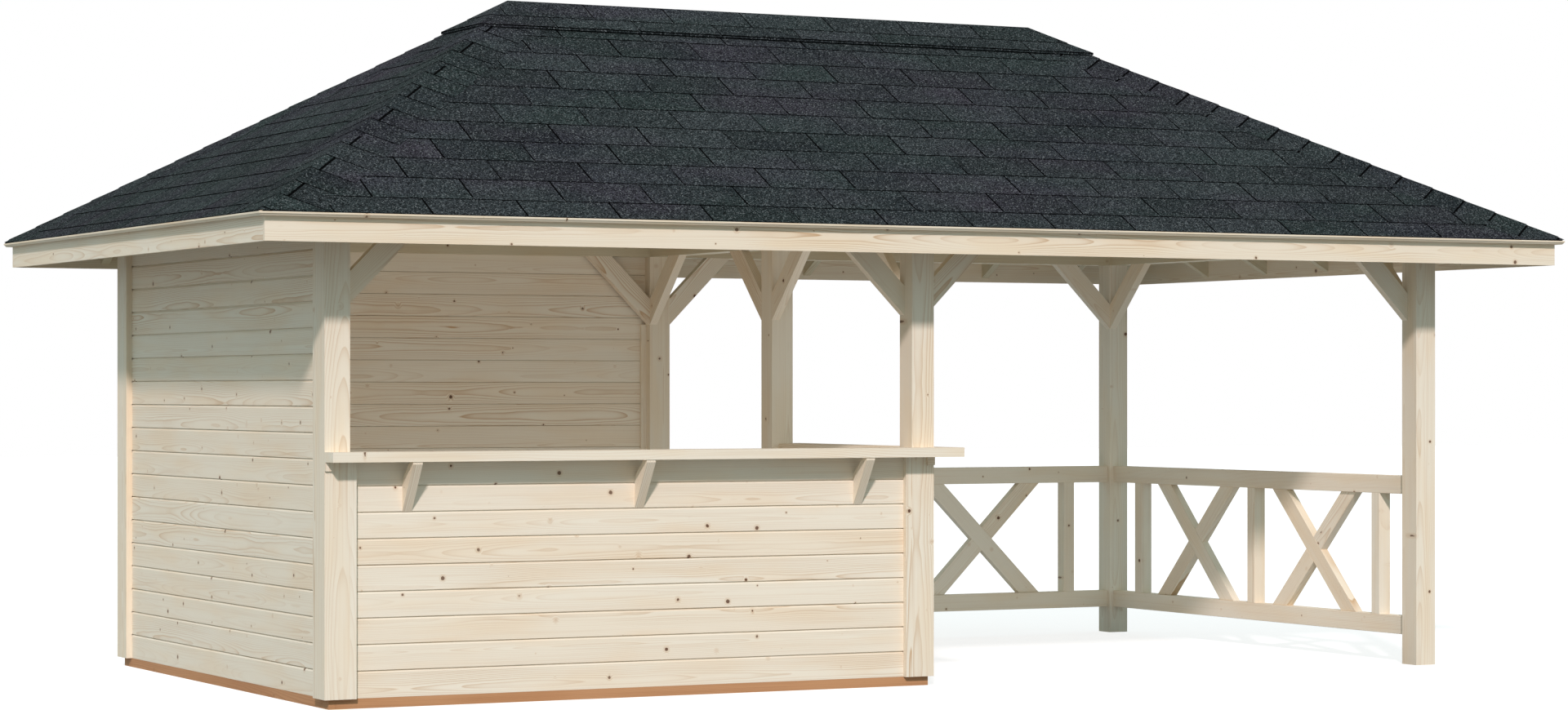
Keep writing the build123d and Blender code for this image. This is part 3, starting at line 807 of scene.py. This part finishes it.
def shingles(slope, seed):
    """Build one slope's shingles."""
    batch = Batch(seed)
    exposure = EXPOSURE[slope.name]
    scale = exposure / EXPOSURE["front"]
    eave_start = FOOT_TOP * tan(PITCH)
    whole = oblong(-slope.half_eave, slope.half_eave, eave_start, SLOPE_LENGTH - UNDERLAY_GAP)
    whole = slope.clipped(whole, HIP_GAP)
    # The sheet under the tabs is near black: painted shade where it shows in the slots.
    sheet_piece(batch, whole, lambda x, t: UNDERLAY, lambda x, t: 0.0, slope.place, GAP_SHADE_LOOKS)
    foot = FIRST_COURSE[slope.name] - exposure
    course = 0
    while foot < SLOPE_LENGTH - LEAST_COURSE:
        head = foot + exposure

        def share(t):
            return (t - foot) / exposure

        for left, right in tab_spans(slope.half_eave, scale, course):
            lift = batch.random.uniform(-TAB_LIFT, TAB_LIFT)
            outline = oblong(left, right, max(foot, eave_start), head + COURSE_LAP)
            outline = slope.clipped(outline, HIP_GAP, head=SLOPE_LENGTH - RIDGE_GAP)
            if len(outline) > 2:
                sheet_piece(
                    batch, outline,
                    lambda x, t: FOOT_TOP + lift + (HEAD_TOP - FOOT_TOP) * share(t),
                    lambda x, t: FOOT_UNDER + (HEAD_UNDER - FOOT_UNDER) * share(t),
                    slope.place, None, TAB_CUTS,
                )
            if batch.random.random() < PALE_SLOTS:
                middle = right + SLOT * batch.random.uniform(*PALE_PLACE)
                outline = oblong(middle - PALE_HALF, middle + PALE_HALF, max(foot, eave_start), head)
                outline = slope.clipped(outline, HIP_GAP, head=SLOPE_LENGTH - RIDGE_GAP)
                if len(outline) > 2:
                    sheet_piece(
                        batch, outline, lambda x, t: PALE_TOP, lambda x, t: 0.0, slope.place, PALE_LOOKS,
                    )
        foot = head
        course += 1
    name = f"roofing_{slope.name}"
    return batch.finish(f"shingles_{slope.name}", SHINGLE, "bitumen_shingles", name)


for number, slope in enumerate(SLOPES):
    shingles(slope, 130 + number)

# Hip tabs: pieces folded over each hip, one course above the other
HIP_EXPOSURE = 0.1727
HIP_START = 0.040
HIP_HALF_WIDTH = 0.213
HIP_SLOT_PLACE = 0.042    # slot of every second piece, from the hip line
HIP_LAP = 0.030
HIP_FOOT_TOP, HIP_FOOT_UNDER = 0.0094, 0.0062
HIP_HEAD_TOP, HIP_HEAD_UNDER = 0.0058, 0.0046
HIP_RIM_DROP = 0.0036     # how much lower the outer edges lie
HIP_SLOT = 0.0125
HIP_SLOT_DEPTH = 0.0016
SHADE_STRIP_WIDTH = 0.0100       # near-black strip under the pieces of two hips: painted shade of an open joint at their feet
SHADE_STRIP_DROP = 0.0028
HIP_RIDGE_GAP = 0.020     # the pieces end this far below the ridge
ON_HIP = 1e-5             # a point nearer the hip line than this lies on it
HIP_NORM = hypot(1.0, cos(PITCH))
HIP_LENGTH = SLOPE_LENGTH * HIP_NORM
HIP_ANGLE = 2 * asin(sin(PITCH) / 2 ** 0.5)   # between the normals of the slopes at a hip


def hip_flap(
    batch, slope, sign, start, inner, outer, looks, sunk=0.0, reach=HIP_EXPOSURE + HIP_LAP, dark=True
):
    """Add one side of a hip piece: sign tells which end of the slope the hip is at."""
    def to_slope(s, w):
        x = sign * (slope.half_eave - (s * cos(PITCH) + w) / HIP_NORM)
        return (x, (s - w * cos(PITCH)) / HIP_NORM)

    def to_hip(x, t):
        back = slope.half_eave - sign * x
        return (back * cos(PITCH) + t) / HIP_NORM, (back - t * cos(PITCH)) / HIP_NORM

    ends = [(start, inner), (start, outer), (start + reach, outer), (start + reach, inner)]
    outline = [to_slope(s, w) for s, w in ends]
    if sign > 0:
        outline = outline[::-1]
    outline = clip(outline, (0.0, HIP_FOOT_TOP * tan(PITCH)), (0, 1))
    outline = clip(outline, (0.0, SLOPE_LENGTH - HIP_RIDGE_GAP), (0, -1))
    outline = clip(outline, (0.0, 0.0), (sign, 0))
    if len(outline) < 3:
        return

    def height(x, t, foot_height, head_height):
        s, w = to_hip(x, t)
        share = (s - start) / HIP_EXPOSURE
        return foot_height + (head_height - foot_height) * share - HIP_RIM_DROP * w / HIP_HALF_WIDTH

    def top(x, t):
        return height(x, t, HIP_FOOT_TOP, HIP_HEAD_TOP) - sunk

    def under(x, t):
        return height(x, t, HIP_FOOT_UNDER, HIP_HEAD_UNDER) - sunk

    def place(x, t, h):
        s, w = to_hip(x, t)
        if w < ON_HIP:
            x, t = to_slope(s, -h * tan(HIP_ANGLE / 2))
        return slope.place(x, t, h)

    foot_edge = Vector(to_slope(0.0, 1.0)) - Vector(to_slope(0.0, 0.0))
    sheet_piece(batch, outline, top, under, place, looks, [foot_edge.normalized()] if dark else ())


def hip_tabs(name, first, second, first_sign, seed, shade_strip=0.0):
    """Build the pieces along one hip, between two slopes.

    A near-black strip, painted shade of an open joint, may stand out under each piece on the second slope.
    """
    batch = Batch(seed)
    start = HIP_START - HIP_EXPOSURE
    course = 0
    while start < HIP_LENGTH:
        looks = batch.looks()
        hip_flap(batch, second, -first_sign, start, 0.0, HIP_HALF_WIDTH, looks, dark=False)
        # a near-black strip at the piece's foot: painted shade of an open joint
        if shade_strip:
            hip_flap(
                batch, second, -first_sign, start - shade_strip, 0.0, HIP_HALF_WIDTH, GAP_SHADE_LOOKS,
                SHADE_STRIP_DROP, 2 * shade_strip,
            )
        if course % 2:
            hip_flap(batch, first, first_sign, start, 0.0, HIP_HALF_WIDTH, looks)
        else:
            slot_ends = (HIP_SLOT_PLACE - HIP_SLOT / 2, HIP_SLOT_PLACE + HIP_SLOT / 2)
            hip_flap(batch, first, first_sign, start, 0.0, slot_ends[0], looks)
            hip_flap(batch, first, first_sign, start, slot_ends[1], HIP_HALF_WIDTH, batch.looks())
            # what shows in the slot is near black: painted shade
            hip_flap(batch, first, first_sign, start, *slot_ends, GAP_SHADE_LOOKS, HIP_SLOT_DEPTH)
        start += HIP_EXPOSURE
        course += 1
    return batch.finish(f"hip_tabs_{name}", SHINGLE, "bitumen_shingles")


FRONT, BACK, LEFT, RIGHT = SLOPES
hip_tabs("front_left", FRONT, LEFT, -1, 140)
hip_tabs("back_left", LEFT, BACK, -1, 141, SHADE_STRIP_WIDTH)
hip_tabs("back_right", BACK, RIGHT, -1, 142)
hip_tabs("front_right", RIGHT, FRONT, -1, 143, SHADE_STRIP_WIDTH)

# Ridge cap: a raised sheet with two courses of shingles on each slope
CAP_TOP = high("ridge_cap").z - RIDGE_Z
CAP_FOOT_Y = high("ridge_cap").y
CAP_UNDER_Z = low("ridge_cap").z
CAP_FIRST = 0.115         # height of the lower course
CAP_SHEET_DROP = 0.0045   # from the cap's outer face to the sheet
CAP_TAB_DROP = 0.0002
CAP_TAB_SLOPE = 0.0024    # how much lower a tab of the lower course is at its head


def ridge_cap():
    """Build the cap from four slopes of its own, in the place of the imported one."""
    batch = Batch(150)
    cap_high = CAP_TOP * cos(PITCH)
    thickness = (high("ridge_cap").z - CAP_FOOT_Y * tan(PITCH) - CAP_UNDER_Z) * cos(PITCH)
    for slope in SLOPES:
        head = SLOPE_LENGTH
        foot = head - CAP_FOOT_Y / cos(PITCH)
        along = slope.half_eave

        def place(x, t, h):
            return slope.place(x, t + (cap_high + h) * tan(PITCH), cap_high + h)

        def under(x, t):
            return -CAP_SHEET_DROP

        sheet = slope.clipped(oblong(-along, along, foot, head), foot=foot)
        sheet_piece(batch, sheet, under, lambda x, t: -thickness, place, CAP_LOOKS)
        for course, (start, end) in enumerate(((foot, foot + CAP_FIRST), (foot + CAP_FIRST, head))):
            for left, right in tab_spans(along, 1.0, course):
                outline = slope.clipped(oblong(left, right, start, end), foot=foot)
                if len(outline) > 2:
                    sheet_piece(
                        batch, outline,
                        lambda x, t: -CAP_TAB_DROP - CAP_TAB_SLOPE * (t - start) / CAP_FIRST * (1 - course),
                        under, place, None, TAB_CUTS,
                    )
    return batch.finish("ridge_cap_shingles", SHINGLE, "bitumen_shingles", "ridge_cap")


ridge_cap()


# Studio: a pale floor, a white surround, one key light, even fill and soft panels inside
FILL_COLOUR = (0.79, 1.0, 0.99, 1.0)
FILL_STRENGTH = 0.62
FLOOR_HALF = 60.0
FLOOR_SEEN = 0.36         # the floor's grey where the camera sees it, which keeps the shadow
FLOOR_GLOW = 0.78         # what makes it white there
FLOOR_BOUNCE = 0.25       # the grey that lights the object from below
KEY_STRENGTH = 2.53
KEY_COLOUR = (1.0, 0.893, 0.889)
KEY_ANGLE = radians(4)
KEY_FROM = (-0.741, -1.307, 1.0)
PANELS = (                # name, place, direction, width, height, power in watts
    ("bar_panel", (-1.45, 0.0, 0.03), (0.0, 0.0, 1.0), 2.7, 2.7, 11.0),
    ("bay_panel", (1.50, 0.0, 0.03), (0.0, 0.0, 1.0), 2.7, 2.7, 9.5),
    ("front_panel", (0.0, -1.40, 1.60), (0.0, 1.0, 0.0), 5.6, 0.8, 7.3),
)
CAMERA_PLACE = (-8.784, -17.066, 1.419)
CAMERA_TURN = radians(-27.099)
CAMERA_LENS = 85.31
CAMERA_SENSOR = 36.0
CAMERA_SHIFT = (0.01008, 0.02254)
CAMERA_REACH = 300.0


def grey(value):
    """A plain grey for a node's socket."""
    return (value, value, value, 1.0)


def camera_rays(tree):
    """1 for rays that see the surroundings themselves or through gloss and glass."""
    path = add_node(tree, "ShaderNodeLightPath").outputs
    seen = maths(tree, "MAXIMUM", path["Is Camera Ray"], path["Is Glossy Ray"])
    return maths(tree, "MAXIMUM", seen, path["Is Transmission Ray"])


def build_world():
    """Even, slightly cool light all round, with a white surround."""
    world = bpy.data.worlds.new("studio")
    bpy.context.scene.world = world
    world.use_nodes = True
    tree = world.node_tree
    tree.nodes.clear()
    fill = add_node(tree, "ShaderNodeBackground", {0: FILL_COLOUR, 1: FILL_STRENGTH})
    white = add_node(tree, "ShaderNodeBackground", {0: grey(1.0), 1: 1.0})
    inputs = {0: camera_rays(tree), 1: fill.outputs[0], 2: white.outputs[0]}
    mixed = add_node(tree, "ShaderNodeMixShader", inputs)
    add_node(tree, "ShaderNodeOutputWorld", {0: mixed.outputs[0]})


def build_floor():
    """A pale floor that keeps the shadow."""
    corners = oblong(-FLOOR_HALF, FLOOR_HALF, -FLOOR_HALF, FLOOR_HALF)
    mesh = bpy.data.meshes.new("floor")
    mesh.from_pydata([(x, y, 0) for x, y in corners], [], [(0, 1, 2, 3)])
    floor = bpy.data.objects.new("floor", mesh)
    bpy.context.scene.collection.objects.link(floor)
    material = bpy.data.materials.new("floor")
    material.use_nodes = True
    tree = material.node_tree
    tree.nodes.clear()
    seen = add_node(tree, "ShaderNodeBsdfDiffuse", {0: grey(FLOOR_SEEN)})
    glow = add_node(tree, "ShaderNodeEmission", {0: grey(1.0), 1: FLOOR_GLOW})
    shown = add_node(tree, "ShaderNodeAddShader", {0: seen.outputs[0], 1: glow.outputs[0]})
    plain = add_node(tree, "ShaderNodeBsdfDiffuse", {0: grey(FLOOR_BOUNCE)})
    inputs = {0: camera_rays(tree), 1: plain.outputs[0], 2: shown.outputs[0]}
    mixed = add_node(tree, "ShaderNodeMixShader", inputs)
    add_node(tree, "ShaderNodeOutputMaterial", {0: mixed.outputs[0]})
    mesh.materials.append(material)


def build_lights():
    """A key from the front left, above, and three soft panels that light the inside."""
    key = bpy.data.lights.new("key", "SUN")
    key.energy = KEY_STRENGTH
    key.angle = KEY_ANGLE
    key.color = KEY_COLOUR
    lamp = bpy.data.objects.new("key", key)
    lamp.rotation_euler = Vector(KEY_FROM).to_track_quat("Z", "Y").to_euler()
    bpy.context.scene.collection.objects.link(lamp)
    for name, place, direction, width, height, power in PANELS:
        panel = bpy.data.lights.new(name, "AREA")
        panel.shape = "RECTANGLE"
        panel.size = width
        panel.size_y = height
        panel.energy = power
        lamp = bpy.data.objects.new(name, panel)
        lamp.location = place
        lamp.rotation_euler = (-Vector(direction)).to_track_quat("Z", "Y").to_euler()
        lamp.visible_camera = False
        bpy.context.scene.collection.objects.link(lamp)


def build_camera():
    """The photograph's viewpoint."""
    view = bpy.data.cameras.new("camera")
    view.sensor_width = CAMERA_SENSOR
    view.lens = CAMERA_LENS
    view.shift_x, view.shift_y = CAMERA_SHIFT
    view.clip_end = CAMERA_REACH
    camera = bpy.data.objects.new("camera", view)
    camera.location = CAMERA_PLACE
    camera.rotation_euler = (radians(90), 0.0, CAMERA_TURN)
    bpy.context.scene.collection.objects.link(camera)
    bpy.context.scene.camera = camera


build_world()
build_floor()
build_lights()
build_camera()
bpy.context.scene.view_settings.view_transform = "Standard"
